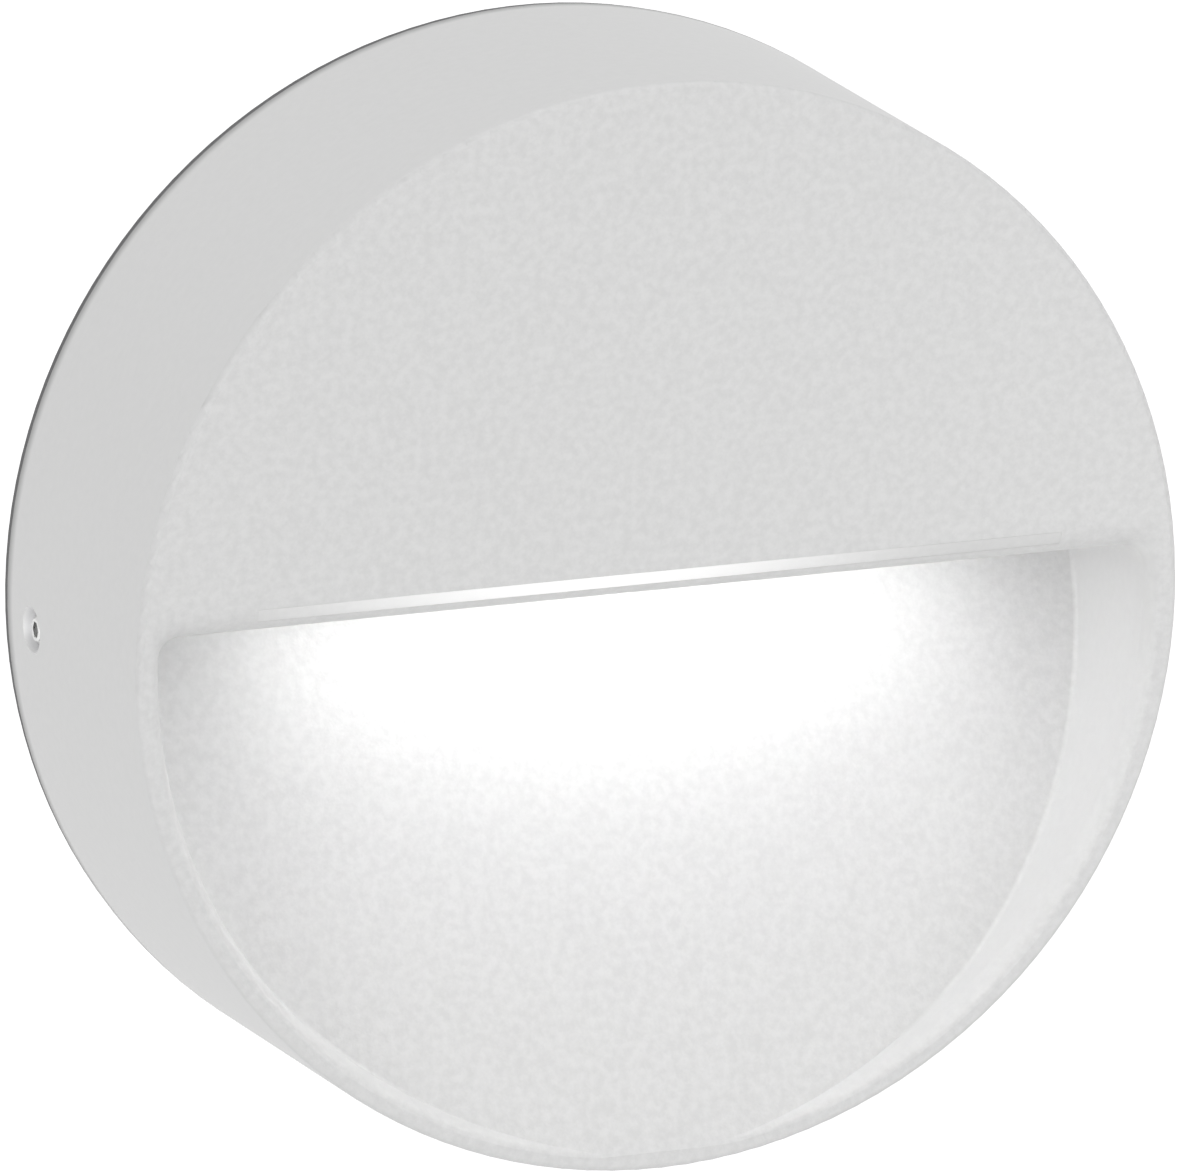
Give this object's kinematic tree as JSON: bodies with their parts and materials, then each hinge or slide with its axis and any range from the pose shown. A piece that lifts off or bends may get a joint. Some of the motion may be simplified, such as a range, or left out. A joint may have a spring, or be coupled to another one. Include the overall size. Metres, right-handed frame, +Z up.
{
  "type": "wall light",
  "caption": "Round outdoor wall light: a drum with a plain hood over a half-moon pocket with a slanted floor, lit from under the hood, on a wall bracket.",
  "frame": {"origin": "where the drum's axis meets the wall, midway between the two wall screw slots", "axes": "+Y into the wall, -Y into the room, +Z up, +X to the right seen from the room"},
  "size_m": [0.15, 0.049, 0.15],
  "materials": {
    "white_paint": "fine-textured white powder coat on die-cast aluminium",
    "opal": "opal polycarbonate, lit from behind",
    "dark_rubber": "matt dark rubber",
    "silicone": "pale silicone",
    "bare_aluminium": "bare sheet",
    "zinc_steel": "zinc plated",
    "stainless": "plain stainless",
    "white_plastic": "matt white moulding",
    "driver_plastic": "matt off-white moulding",
    "board_white": "white solder mask on a metal core",
    "phosphor": "yellow phosphor",
    "thermal_grey": "soft grey pad",
    "terminal_plastic": "natural polyamide",
    "brass": "plain brass",
    "brown_lead": "insulation",
    "blue_lead": "insulation",
    "earth_lead": "green and yellow insulation",
    "red_lead": "insulation",
    "black_lead": "insulation"
  },
  "bodies": {
    "wall_bracket": {"mounting_bracket": "zinc_steel", "cable_grommet": "dark_rubber"},
    "lamp": {"housing": "white_paint", "wall_gasket": "dark_rubber", "diffuser": "opal", "diffuser_gasket": "silicone", "light_box": "white_plastic", "led_board": "board_white", "led_chips": "phosphor", "board_connector": "white_plastic", "board_screws": "zinc_steel", "led_carrier": "bare_aluminium", "thermal_pad": "thermal_grey", "carrier_screws": "zinc_steel", "rear_cover": "bare_aluminium", "cover_seal": "silicone", "cover_screws": "zinc_steel", "driver_case": "driver_plastic", "driver_lid": "driver_plastic", "driver_screws": "zinc_steel", "terminal_block": "terminal_plastic", "clamp_sleeves": "brass", "clamp_screws": "zinc_steel", "terminal_fixing_screws": "zinc_steel", "lead_grommet": "dark_rubber", "live_lead": "brown_lead", "neutral_lead": "blue_lead", "earth_lead": "earth_lead", "led_positive_lead": "red_lead", "led_negative_lead": "black_lead", "earth_tag": "zinc_steel", "earth_screw": "zinc_steel"},
    "left_screw": {"left_set_screw": "stainless"},
    "right_screw": {"right_set_screw": "stainless"}
  },
  "joints": [
    {"name": "lamp_lift_off", "type": "slide", "parent": "wall_bracket", "child": "lamp", "axis": [0, -1, 0], "range_m": [0, 0.04]},
    {"name": "left_screw_out", "type": "slide", "parent": "lamp", "child": "left_screw", "axis": [-1, 0, 0], "range_m": [0, 0.004]},
    {"name": "right_screw_out", "type": "slide", "parent": "lamp", "child": "right_screw", "axis": [1, 0, 0], "range_m": [0, 0.004]}
  ]
}
